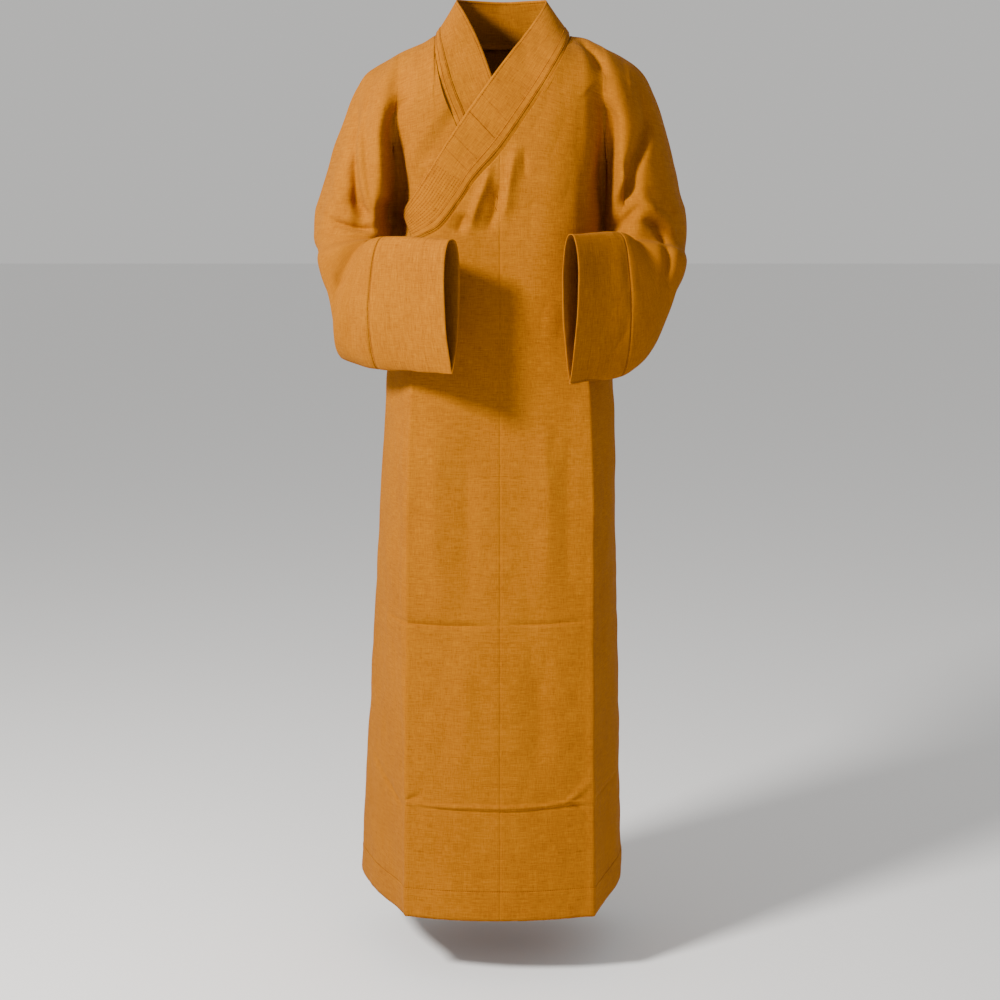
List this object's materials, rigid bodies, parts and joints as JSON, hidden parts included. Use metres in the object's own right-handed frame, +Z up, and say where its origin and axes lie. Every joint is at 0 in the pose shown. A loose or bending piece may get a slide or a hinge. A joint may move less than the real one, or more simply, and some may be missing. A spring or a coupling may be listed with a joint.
{
  "type": "buddhist monk robe",
  "caption": "Long wrap-over monk's robe in saffron cloth: banded cross collar closing on the wearer's right, wide sleeves held folded in front, straight skirt to the ankles.",
  "frame": {"origin": "middle of the neck, level with the points where the collar meets the shoulders: where the wearer's shoulders hold the robe up", "axes": "+Z up, -Y to the front of the robe, +X toward the wearer's left"},
  "size_m": [0.5816, 0.4085, 1.3848],
  "materials": {
    "body_left_cloth": "matte slubbed plain weave, saffron",
    "body_right_cloth": "matte slubbed plain weave, saffron",
    "front_overlap_cloth": "matte slubbed plain weave, saffron",
    "sleeve_end_left_cloth": "matte slubbed plain weave, saffron",
    "sleeve_end_right_cloth": "matte slubbed plain weave, saffron",
    "collar_band_cloth": "matte slubbed plain weave, saffron",
    "collar_border_cloth": "matte slubbed plain weave, saffron"
  },
  "bodies": {
    "root": {"body_left": "body_left_cloth", "body_right": "body_right_cloth", "front_overlap": "front_overlap_cloth", "sleeve_end_left": "sleeve_end_left_cloth", "sleeve_end_right": "sleeve_end_right_cloth", "collar_band": "collar_band_cloth", "collar_border": "collar_border_cloth"}
  },
  "joints": []
}
